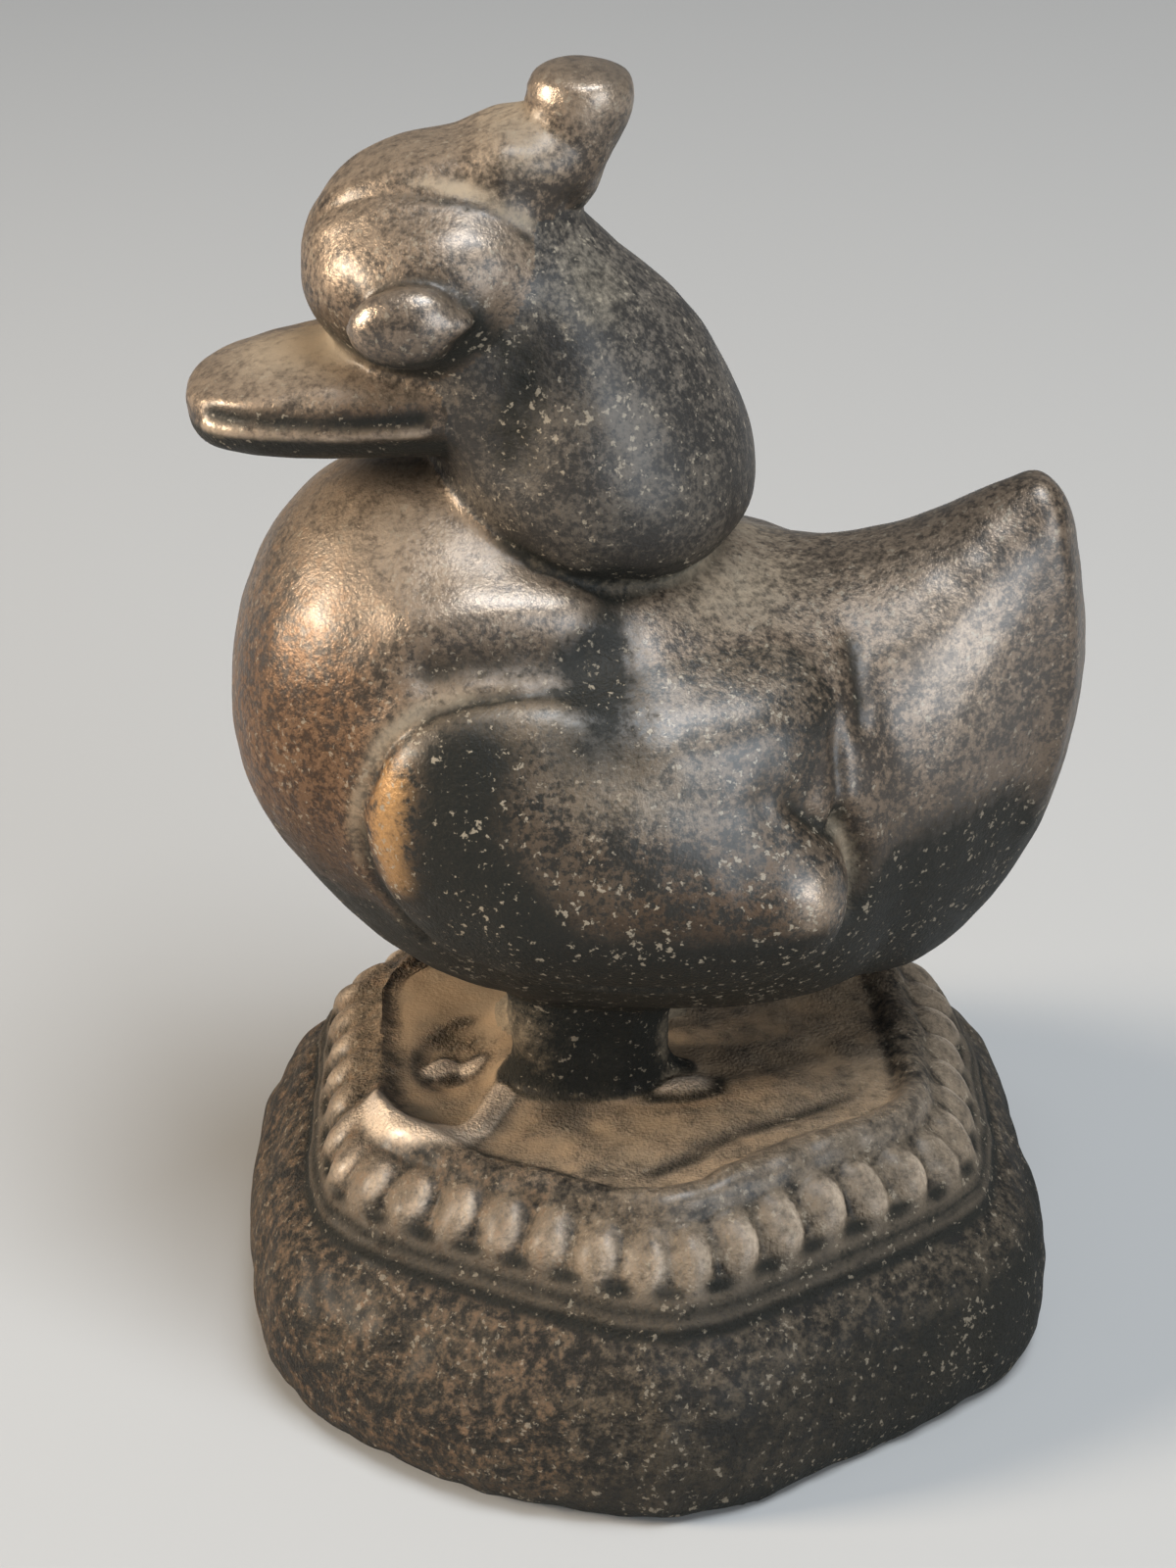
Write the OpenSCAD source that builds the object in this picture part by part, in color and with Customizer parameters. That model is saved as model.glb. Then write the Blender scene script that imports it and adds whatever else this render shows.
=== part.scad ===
// Burmese opium weight: a hintha bird on a six-sided base.
// Millimetres, +Z up. Origin: middle of the underside. The bird faces -X, its left side faces -Y.
// Each module is one piece of wax as the caster made it, before they were joined and cast in bronze.

/* [Base] */
// Flat side to flat side across the widest part of the base
base_across = 42.6; // [38:0.5:46]
// Flat side to flat side across the top of the base
top_across = 29.4; // [28:0.2:32]
// Height of the flat top above the ground
base_height = 13.2; // [10:0.2:18]
// Height of the widest part of the base
swell_height = 3.2; // [2:0.2:5]
// How far the foot of the base draws in
foot_draw = 0.5; // [0.2:0.1:1.5]
// Sharpness of the corners at the ground
ground_sharp = 10; // [6:1:20]
// Sharpness of the corners at the top
top_sharp = 15; // [8:1:30]

/* [Border] */
// Width of the welt round the top
rim_wide = 1.8; // [1.2:0.1:2.4]
// Height of the welt round the top
rim_high = 1.1; // [0.6:0.1:1.8]
// Grains on each side of the base
grain_count = 7; // [5:1:8]
// Length of a grain
grain_len = 3.1; // [2.2:0.1:3.3]
// Width of a grain
grain_wide = 1.9; // [1.2:0.1:2.1]
// How far a grain stands out
grain_rise = 0.75; // [0.4:0.05:1.2]
// Thickness of the two threads under the grains
thread_d = 1; // [0.7:0.1:1.2]
// How far a thread stands out
thread_rise = 0.4; // [0.25:0.05:0.6]
// Room between the two threads
thread_gap = 0.05; // [0.05:0.05:0.4]

/* [Mark] */
// Width of the struck hollow in front of the bird
mark_d = 5; // [3:0.2:6]
// How far the struck hollow sits to the left of the middle
mark_aside = 1.4; // [0:0.2:3]
// Depth of the struck hollow
mark_depth = 0.7; // [0.3:0.1:1.2]
// How far the struck hollow sits in front of the middle
mark_ahead = 10; // [9:0.1:11]

/* [Legs] */
// Room between the top of the base and the belly
leg_height = 5; // [3:0.5:9]
// Front to back size of a leg
leg_long = 8.4; // [6:0.2:10]
// Side to side size of a leg
leg_wide = 5; // [3:0.2:5.6]
// Room between the feet
leg_gap = 0.5; // [0.3:0.1:3]
// Thickness of a foot
foot_thick = 0.8; // [0.5:0.1:1.6]

/* [Body] */
// Breast to rump
body_len = 34; // [30:0.5:38]
// Side to side
body_wide = 26.4; // [22:0.4:30]
// Belly to the top of the breast
body_height = 30; // [27:0.5:33]
// How far the breast reaches in front of the middle of the base
breast_ahead = 20.7; // [18:0.1:23]

/* [Wings] */
// Front to back size of a wing
wing_len = 23.6; // [20:0.2:25]
// Top to bottom size of a wing
wing_deep = 18; // [15:0.2:19]
// How far a wing stands out from the body
wing_rise = 1.7; // [1:0.1:2.6]

/* [Tail] */
// How far the tail reaches behind the rump
tail_reach = 9; // [6:0.2:12]
// Height of the tail
tail_height = 28; // [24:0.5:30]
// Thickness of the tail at its root
tail_wide = 18.4; // [14:0.4:20]

/* [Neck] */
// Front to back size of the neck at the nape
neck_deep = 17; // [15:0.5:19]
// Side to side size of the neck at the nape
neck_wide = 18.2; // [15:0.2:21]
// Nape to crown
neck_height = 19; // [17:0.5:22]

/* [Head] */
// Forehead to the back of the head
head_long = 13; // [11:0.2:14]
// Side to side size of the head
head_wide = 14.2; // [12:0.2:16]
// Height of the head
head_high = 10; // [9:0.2:11.5]
// Length of an eye
eye_long = 6; // [4:0.2:7]
// Height of an eye
eye_high = 3.8; // [2.6:0.2:5]
// How far an eye stands out
eye_rise = 1.4; // [0.8:0.1:2]

/* [Bill] */
// How far the bill stands out from the face
bill_reach = 5.8; // [4:0.2:8]
// Side to side size of the bill at the face
bill_wide = 11.6; // [9:0.2:13]
// Height of the upper half of the bill
upper_high = 3.4; // [2.4:0.1:4]
// Height of the lower half of the bill
lower_high = 1.8; // [1.2:0.1:2.4]

/* [Crest] */
// Side to side size of the crest strap
strap_wide = 7.4; // [5:0.2:9]
// Thickness of the crest strap
strap_thick = 1.5; // [1:0.1:2.2]
// Thickness of the knob
knob_d = 4.8; // [3.6:0.1:5.6]
// Height of the knob
knob_high = 6.6; // [5:0.2:8]

/* [Hidden] */

dark = [0.24, 0.19, 0.15];
worn = [0.36, 0.27, 0.19];
dusty = [0.42, 0.37, 0.29];

// Smooth row between four rows.
function smooth(a, b, c, d, t) =
    0.5 * (2 * b + (c - a) * t + (2 * a - 5 * b + 4 * c - d) * t * t + (3 * b - a - 3 * c + d) * t * t * t);
// A row as it looks on the far side of a round tip.
function past_tip(r) = [r[2], r[3], r[0], r[1], -r[4], r[5]];
// Row u of a list of rows, with round tips at the ends that ask for one.
function row(rows, u, tip0, tip1) =
    let (n = len(rows) - 1, i = min(floor(u), n - 1),
         before = i > 0 ? rows[i - 1] : tip0 ? past_tip(rows[1]) : 2 * rows[0] - rows[1],
         after = i < n - 1 ? rows[i + 2] : tip1 ? past_tip(rows[n - 1]) : 2 * rows[n] - rows[n - 1])
    smooth(before, rows[i], rows[i + 1], after, u - i);
function power(v, p) = sign(v) * pow(abs(v), p);
// Ring of n points. A row holds x, z of one edge and of the other, the half width and the squareness.
function ring(r, n) = [
    for (i = [0 : n - 1])
        let (c = power(cos(360 * i / n), 2 / r[5]), s = power(sin(360 * i / n), 2 / r[5]))
        [(r[0] + r[2] + (r[2] - r[0]) * c) / 2, r[4] * s, (r[1] + r[3] + (r[3] - r[1]) * c) / 2]];
function middle(r) = [(r[0] + r[2]) / 2, 0, (r[1] + r[3]) / 2];

// Does the ring run the right way round for a skin that goes on this way?
function mean(r) = [for (i = [0 : 2]) [for (p = r) p[i]] * [for (p = r) 1 / len(r)]];
function runs_right(r, way) = let (m = mean(r)) cross(r[0] - m, r[round(len(r) / 4)] - m) * way > 0;
// Skin over rings, with a point or a flat at each end.
module skin(rings, tip0, tip1) {
    n = len(rings[0]);
    k = len(rings);
    points = concat([for (r = rings) each r], [tip0, tip1]);
    faces = concat(
        [for (j = [0 : k - 2]) for (i = [0 : n - 1]) let (a = j * n + i, b = j * n + (i + 1) % n)
            each [[a, a + n, b], [b, a + n, b + n]]],
        [for (i = [0 : n - 1]) [i, (i + 1) % n, k * n]],
        [for (i = [0 : n - 1]) [(k - 1) * n + (i + 1) % n, (k - 1) * n + i, k * n + 1]]);
    polyhedron(points, runs_right(rings[0], tip1 - tip0) ? faces : [for (f = faces) [f[0], f[2], f[1]]]);
}
// Skin over rows, with steps rings from each row to the next.
module loft(rows, steps, n, tip0 = true, tip1 = true) {
    last = (len(rows) - 1) * steps;
    skin([for (j = [tip0 ? 1 : 0 : tip1 ? last - 1 : last]) ring(row(rows, j / steps, tip0, tip1), n)],
         middle(rows[0]), middle(rows[len(rows) - 1]));
}
// Round pellet with half sizes r.
module pellet(r, k, n) {
    skin([for (j = [1 : k - 1]) let (a = 180 * j / k)
            ring([-r[0] * cos(a), -r[2] * sin(a), -r[0] * cos(a), r[2] * sin(a), r[1] * sin(a), 2], n)],
         [-r[0], 0, 0], [r[0], 0, 0]);
}
// Closed hoop of rings.
module hoop(rings) {
    n = len(rings[0]);
    k = len(rings);
    polyhedron([for (r = rings) each r],
        [for (j = [0 : k - 1]) for (i = [0 : n - 1])
            let (a = j * n + i, b = j * n + (i + 1) % n, c = (a + n) % (k * n), d = (b + n) % (k * n))
            each [[a, b, c], [b, d, c]]]);
}

// Base rows from the ground up: distance of a flat side from the middle, height, sharpness of the corners.
function base_row(draw, up, sharp) = [
    (base_across - draw * (base_across - top_across)) / 2, swell_height + up * (base_height - swell_height),
    ground_sharp + sharp * (top_sharp - ground_sharp)];
base_rows = [
    [base_across / 2 - foot_draw, 0, ground_sharp],
    [base_across / 2 - 0.3 * foot_draw, 0.35 * swell_height, ground_sharp],
    base_row(0, 0, 0), base_row(0.06, 0.24, 0.1), base_row(0.22, 0.46, 0.3), base_row(0.43, 0.6, 0.5),
    base_row(0.56, 0.68, 0.7), base_row(0.67, 0.78, 0.8), base_row(1, 1, 1)];
base_top = len(base_rows) - 1;
function base_at(u) = let (n = base_top, i = min(floor(u), n - 1))
    smooth(i > 0 ? base_rows[i - 1] : 2 * base_rows[0] - base_rows[1], base_rows[i], base_rows[i + 1],
           i < n - 1 ? base_rows[i + 2] : 2 * base_rows[n] - base_rows[n - 1], u - i);
// How much farther than a flat side a six-sided outline lies towards the angle a.
function six(a, sharp) = pow(
    pow(abs(cos(a)), sharp) + pow(abs(cos(a - 60)), sharp) + pow(abs(cos(a + 60)), sharp), -1 / sharp);
function flat_ring(p, n = 48) = [
    for (i = [0 : n - 1]) let (a = 360 * i / n, r = p[0] * six(a, p[2])) [r * cos(a), r * sin(a), p[1]]];
// Point of the flank at row u towards the angle a.
function flank_base(u, a) = let (p = base_at(u), r = p[0] * six(a, p[2])) [r * cos(a), r * sin(a), p[1]];
// Lean of the flank's outward direction from level at row u.
function lean(u) = let (p = base_at(u - 0.15), q = base_at(u + 0.15)) atan2(p[0] - q[0], q[1] - p[1]);
// Row that lies a length below row u, down the flank.
function below(u, length) = let (step = base_at(u) - base_at(u - 1)) u - length / norm([step[0], step[1]]);
grain_u = 7.48;
upper_u = 6.72;
lower_u = below(upper_u, thread_d + thread_gap);
// Welt of thickness d round the base at place p, risen by rise in the direction lean from level.
module welt(p, lean, d, rise, k) {
    lift = rise - d / 2;
    n = 48;
    hoop([for (j = [0 : n - 1]) let (a = 360 * j / n, r = p[0] * six(a, p[2]))
        [for (i = [0 : k - 1])
            let (out = r + lift * cos(lean) + d / 2 * cos(360 * i / k),
                 up = lift * sin(lean) + d / 2 * sin(360 * i / k))
            [out * cos(a), out * sin(a), p[1] + up]]]);
}

// Places of the bird, from the base up.
belly_z = base_height + leg_height;
function bx(f) = f * body_len - breast_ahead;
function bz(f) = belly_z + f * body_height;
function body_row(x, low, high, wide, square = 2) =
    [bx(x), bz(low), bx(x), bz(high), wide * body_wide / 2, square];
body_rows = [
    body_row(0, 0.56, 0.56, 0), body_row(0.03, 0.38, 0.76, 0.42), body_row(0.1, 0.24, 0.9, 0.65),
    body_row(0.2, 0.13, 0.98, 0.82), body_row(0.33, 0.05, 1, 0.93), body_row(0.48, 0.01, 0.95, 0.99),
    body_row(0.63, 0, 0.87, 1), body_row(0.78, 0, 0.81, 0.94), body_row(0.9, 0.02, 0.79, 0.81),
    body_row(0.97, 0.11, 0.72, 0.57), body_row(1, 0.45, 0.45, 0)];
// Row of the body at a place along it.
function body_u(x, a = 0, b = 10, n = 16) = let (m = (a + b) / 2)
    n == 0 ? m : row(body_rows, m, true, true)[0] < x ? body_u(x, m, b, n - 1) : body_u(x, a, m, n - 1);
// Point of the body's left flank at x and z.
function flank(x, z) =
    let (r = row(body_rows, body_u(x), true, true), h = (r[3] - r[1]) / 2, v = (z - r[1] - h) / h)
    [x, -r[4] * sqrt(max(0.02, 1 - v * v)), z];
function flank_out(x, z) =
    let (v = cross(flank(x + 0.3, z) - flank(x - 0.3, z), flank(x, z + 0.3) - flank(x, z - 0.3))) v / norm(v);

neck_x = bx(0.52);
neck_z = bz(0.85);
function neck_row(fx, fz, back_x, back_z, wide) =
    [neck_x + fx * neck_deep, neck_z + fz * neck_height, neck_x + back_x * neck_deep,
     neck_z + back_z * neck_height, wide * neck_wide / 2, 2];
neck_rows = [
    neck_row(-0.28, 0.04, 0.27, -0.06, 0.62), neck_row(-0.36, 0.12, 0.41, 0.02, 0.86),
    neck_row(-0.4, 0.2, 0.48, 0.11, 0.98), neck_row(-0.44, 0.29, 0.49, 0.23, 1),
    neck_row(-0.48, 0.38, 0.44, 0.37, 0.94), neck_row(-0.51, 0.48, 0.36, 0.52, 0.86),
    neck_row(-0.52, 0.6, 0.25, 0.67, 0.74), neck_row(-0.5, 0.72, 0.11, 0.8, 0.6),
    neck_row(-0.45, 0.85, -0.06, 0.9, 0.42), neck_row(-0.3, 0.95, -0.3, 0.95, 0)];
head_x = neck_x - 0.405 * neck_deep;
head_z = neck_z + 0.73 * neck_height;
face_x = head_x - head_long / 2;
mouth_z = head_z - 0.65 * head_high;

module base_blank()
    skin([for (j = [0 : 14]) flat_ring(base_at(base_top * j / 14))], [0, 0, 0], [0, 0, base_height]);
module mark_hollow() translate([-mark_ahead, -mark_aside, base_height])
    pellet([mark_d / 2, mark_d / 2, mark_depth], 8, 24);
module base_block() color(dusty) difference() { base_blank(); mark_hollow(); }
// Half-round strip laid flat along the edge of the top.
module rim_strip() hoop([for (j = [0 : 47]) let (a = 7.5 * j, r = (top_across - rim_wide) / 2 * six(a, top_sharp))
    [for (t = [0 : 20 : 180]) let (out = r + rim_wide / 2 * cos(t))
        [out * cos(a), out * sin(a), base_height + rim_high * sin(t)]]]);
module rim_welt() color(dusty) rim_strip();
module thread_blank(u) welt(base_at(u), lean(u), thread_d, thread_rise, 8);
module upper_thread() color(dusty) difference() { thread_blank(upper_u); base_blank(); }
module lower_thread() color(dusty) difference() { thread_blank(lower_u); base_blank(); }
// Row of upright grains on the side of the base that looks towards the angle a.
module grains(a) {
    color(worn) difference() {
        for (i = [0 : grain_count - 1]) {
            b = a + atan(tan(30) * ((2 * i + 1) / grain_count - 1));
            at = flank_base(grain_u, b);
            up = flank_base(grain_u + 0.2, b) - at;
            side = flank_base(grain_u, b + 1) - flank_base(grain_u, b - 1);
            x = up / norm(up);
            z = cross(side, up) / norm(cross(side, up));
            y = cross(z, x);
            multmatrix([for (k = [0 : 2]) [x[k], y[k], z[k], at[k]]])
                pellet([grain_len / 2, grain_wide / 2, grain_rise], 6, 10);
        }
        base_blank();
        rim_strip();
        thread_blank(upper_u);
    }
}
module grains_front_left() grains(-120);
module grains_front_right() grains(-60);
module grains_right() grains(0);
module grains_back_right() grains(60);
module grains_back_left() grains(120);
module grains_left() grains(180);

leg_x = bx(0.53);
// Half the outline of a foot: shares of the leg's length and width from its middle.
foot_half = 0.53;
foot_edge = [
    [0.62, 0.12], [0.48, 0.14], [0.36, 0.36], [0.15, 0.5], [-0.25, foot_half], [-0.48, 0.42], [-0.57, 0.15]];
leg_apart = 2 * foot_half * leg_wide + leg_gap;
module foot(s) color(dusty) translate([leg_x, s * leg_apart / 2, base_height])
    linear_extrude(foot_thick) polygon(concat(
        [for (p = foot_edge) [p[0] * leg_long, p[1] * leg_wide]],
        [for (i = [len(foot_edge) - 1 : -1 : 0]) [foot_edge[i][0] * leg_long, -foot_edge[i][1] * leg_wide]]));
module left_foot() foot(-1);
module right_foot() foot(1);
function leg_row(z, grow) = let (l = leg_long / 2 * grow, w = leg_wide / 2 * grow)
    [leg_x - l, z, leg_x + l, z, w, 2.4];
module leg(s) color(dark) difference() {
    z0 = base_height + foot_thick;
    z1 = belly_z + 0.1 * body_height;
    translate([0, s * leg_apart / 2, 0])
        loft([leg_row(z0, 1), leg_row(0.75 * z0 + 0.25 * z1, 0.9), leg_row(0.4 * z0 + 0.6 * z1, 0.92),
              leg_row(z1, 1.02)], 3, 24, false, false);
    body();
}
module left_leg() leg(-1);
module right_leg() leg(1);

module body() color(worn) loft(body_rows, 3, 36);

// Outline of a wing as seen from the side: shares of its length and depth from its middle, and of its rise.
wing_x = bx(0.54);
wing_z = bz(0.48);
wing_edge = [
    [-0.5, 0.08, 1], [-0.46, 0.26, 0.95], [-0.36, 0.38, 0.75], [-0.2, 0.44, 0.5], [0, 0.46, 0.4],
    [0.2, 0.46, 0.4], [0.37, 0.43, 0.5], [0.45, 0.31, 0.7], [0.4, 0.18, 0.6], [0.38, 0.08, 0.7],
    [0.44, -0.1, 1], [0.46, -0.28, 1.1], [0.36, -0.42, 1], [0.16, -0.47, 0.9], [-0.08, -0.46, 0.9],
    [-0.28, -0.38, 0.9], [-0.42, -0.2, 0.95]];
function wing_corner(i) = wing_edge[(i + len(wing_edge)) % len(wing_edge)];
function wing_at(v) = let (i = floor(v))
    smooth(wing_corner(i - 1), wing_corner(i), wing_corner(i + 1), wing_corner(i + 2), v - i);
// How far the blank of a wing reaches into the body, before it is cut to fit.
wing_sink = 0.8;
wing_shells = [1, 0.96, 0.89, 0.79, 0.66, 0.5, 0.32, 0.15];
function wing_point(e, s, h) = let (x = wing_x + e[0] * s * wing_len, z = wing_z + e[1] * s * wing_deep)
    flank(x, z) + h * flank_out(x, z);
module wing_blank() {
    n = 44;
    edge = [for (i = [0 : n - 1]) wing_at(i * len(wing_edge) / n)];
    outer = [for (s = wing_shells) [for (e = edge)
        wing_point(e, s, wing_rise * (e[2] * s + 1.1 * (1 - s)) * pow(1 - pow(s, 5), 0.5))]];
    inner = [[for (e = edge) wing_point(e, 0.98, -wing_sink)]];
    skin(concat(inner, outer), wing_point([0, 0], 0, -wing_sink), wing_point([0, 0], 0, 1.1 * wing_rise));
}
module left_wing() color(dark) difference() { wing_blank(); body(); }
module right_wing() color(dark) difference() { mirror([0, 1, 0]) wing_blank(); body(); }

tail_x = bx(1);
tail_z = bz(0.01);
function tail_row(back, low, high, wide) = let (x = tail_x + back * tail_reach)
    [x, tail_z + low * tail_height, x, tail_z + high * tail_height, wide * tail_wide / 2, 2];
tail_rows = [
    tail_row(-0.6, 0.02, 0.85, 1), tail_row(-0.1, 0, 0.88, 0.92), tail_row(0.21, 0.04, 0.93, 0.74),
    tail_row(0.49, 0.12, 0.98, 0.54), tail_row(0.64, 0.19, 1, 0.44), tail_row(0.8, 0.28, 0.97, 0.33),
    tail_row(0.91, 0.42, 0.85, 0.22), tail_row(1, 0.63, 0.63, 0)];
module tail() color(dark) difference() { loft(tail_rows, 3, 28, false, true); body(); }

module neck_blank() loft(neck_rows, 3, 28, false, true);
module neck() color(dark) difference() { neck_blank(); body(); }
module head_blank() translate([head_x, 0, head_z])
    pellet([head_long / 2, head_wide / 2, head_high / 2], 18, 28);
module head() color(worn) difference() { head_blank(); neck_blank(); body(); }
// The eyes sit a little into the head and lean with the bill.
eye_sink = 0.2;
eye_lean = 6;
module eye(s) color(worn) difference() {
    translate([head_x - 0.09 * head_long, s * (head_wide / 2 - eye_sink), head_z - 0.03 * head_high])
        rotate([0, -eye_lean, 0])
        pellet([eye_long / 2, eye_rise, eye_high / 2], 14, 18);
    head_blank();
    neck_blank();
}
module left_eye() eye(-1);
module right_eye() eye(1);

function bill_row(x, low, high, wide) =
    [x, mouth_z - low * lower_high, x, mouth_z + high * upper_high, wide * bill_wide / 2, 2.3];
function bill_rows(slim) = [
    bill_row(face_x + 0.5 * head_long, 1, 0.95, slim), bill_row(face_x + 0.2 * head_long, 1, 0.9, slim),
    bill_row(face_x, 1, 0.78, 0.93 * slim), bill_row(face_x - 0.45 * bill_reach, 0.92, 0.62, 0.8 * slim),
    bill_row(face_x - 0.8 * bill_reach, 0.72, 0.42, 0.56 * slim),
    bill_row(face_x - bill_reach * slim, 0, 0.1, 0)];
module bill_blank(slim) difference() {
    loft(bill_rows(slim), 3, 20, false, true);
    head_blank();
    neck_blank();
    body();
}
// Block that takes away all above the mouth, for up 1, or all below it, for up 0.
module mouth_cut(up) let (s = 2 * head_long)
    translate([face_x - s, -s, mouth_z - 2 * s * (1 - up)]) cube(2 * s);
module upper_bill() color(worn) difference() { bill_blank(1); mouth_cut(0); }
module lower_bill() color(worn) difference() { bill_blank(0.94); mouth_cut(1); }

// Strap over the top of the head: angle round the head from the forehead, thickness and width shares.
strap_sink = 1.4;
function strap_row(a, thick, wide) = let (x = head_long / 2, z = head_high / 2, t = thick * strap_thick)
    [head_x - (x - strap_sink) * cos(a), head_z + (z - strap_sink) * sin(a),
     head_x - (x + t) * cos(a), head_z + (z + t) * sin(a), wide * strap_wide / 2, 2.6];
strap_rows = [
    strap_row(20, 0, 0.1), strap_row(30, 0.5, 0.5), strap_row(48, 0.8, 0.8), strap_row(70, 1, 0.95),
    strap_row(92, 1.3, 1), strap_row(110, 1.9, 1.04), strap_row(126, 2.4, 1), strap_row(140, 2.3, 0.85)];
module strap_blank() loft(strap_rows, 3, 20, false, false);
module crest_strap() color(worn) difference() { strap_blank(); head_blank(); neck_blank(); }
knob_x = head_x + 0.5 * head_long;
knob_z = head_z + 0.65 * head_high;
knob_lean = 12;
function knob_row(wide, up) = let (r = wide * knob_d / 2, z = up * knob_high / 2) [-r, z, r, z, r, 2];
module knob_blank() translate([knob_x, 0, knob_z]) rotate([0, knob_lean, 0])
    loft([knob_row(0, -1), knob_row(0.7, -0.9), knob_row(0.98, -0.5), knob_row(1, 0.2), knob_row(0.92, 0.7),
          knob_row(0.6, 0.95), knob_row(0, 1)], 3, 20);
module crest_knob() color(worn) difference() { knob_blank(); strap_blank(); head_blank(); neck_blank(); }

base_block();
rim_welt();
grains_front_left();
grains_front_right();
grains_right();
grains_back_right();
grains_back_left();
grains_left();
upper_thread();
lower_thread();
left_foot();
right_foot();
left_leg();
right_leg();
body();
left_wing();
right_wing();
tail();
neck();
head();
left_eye();
right_eye();
upper_bill();
lower_bill();
crest_strap();
crest_knob();
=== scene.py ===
import math

import bpy
import numpy as np
from mathutils import Matrix, Vector, noise
from mathutils.bvhtree import BVHTree


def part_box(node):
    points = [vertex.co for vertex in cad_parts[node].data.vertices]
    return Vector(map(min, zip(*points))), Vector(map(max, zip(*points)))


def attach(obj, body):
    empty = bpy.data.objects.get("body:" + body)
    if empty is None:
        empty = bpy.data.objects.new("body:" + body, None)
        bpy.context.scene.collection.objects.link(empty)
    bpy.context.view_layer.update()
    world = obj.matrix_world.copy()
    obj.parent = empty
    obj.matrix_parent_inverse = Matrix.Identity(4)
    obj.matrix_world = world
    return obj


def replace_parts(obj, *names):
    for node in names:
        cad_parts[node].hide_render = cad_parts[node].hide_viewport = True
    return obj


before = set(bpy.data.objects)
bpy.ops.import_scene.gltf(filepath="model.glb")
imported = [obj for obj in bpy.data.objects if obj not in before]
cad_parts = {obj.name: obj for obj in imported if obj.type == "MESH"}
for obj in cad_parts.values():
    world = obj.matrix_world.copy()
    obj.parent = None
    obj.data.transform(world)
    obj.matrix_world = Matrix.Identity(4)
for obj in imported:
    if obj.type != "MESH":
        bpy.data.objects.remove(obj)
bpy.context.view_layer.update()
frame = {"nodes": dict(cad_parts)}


# The wax
# The weight was built up from pieces of wax that were luted together and smoothed with a warm tool,
# then cast in bronze in one pour, so the skin of the metal runs on over every joint. The skin is made
# here once over all the pieces, in millimetres, and each section below works its own piece of it.
def islands(count, a, b):
    """For each of count things, the lowest number it is joined to, where a[i] touches b[i]."""
    lowest = np.arange(count)
    while True:
        joined = lowest.copy()
        least = np.minimum(lowest[a], lowest[b])
        np.minimum.at(joined, a, least)
        np.minimum.at(joined, b, least)
        joined = joined[joined]
        if (joined == lowest).all():
            return lowest
        lowest = joined


def rise(values, start, end):
    """0 up to the start, 1 from the end on, and even between them. The end may be the lower one."""
    return np.clip((values - start) / (end - start), 0, 1)


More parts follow.
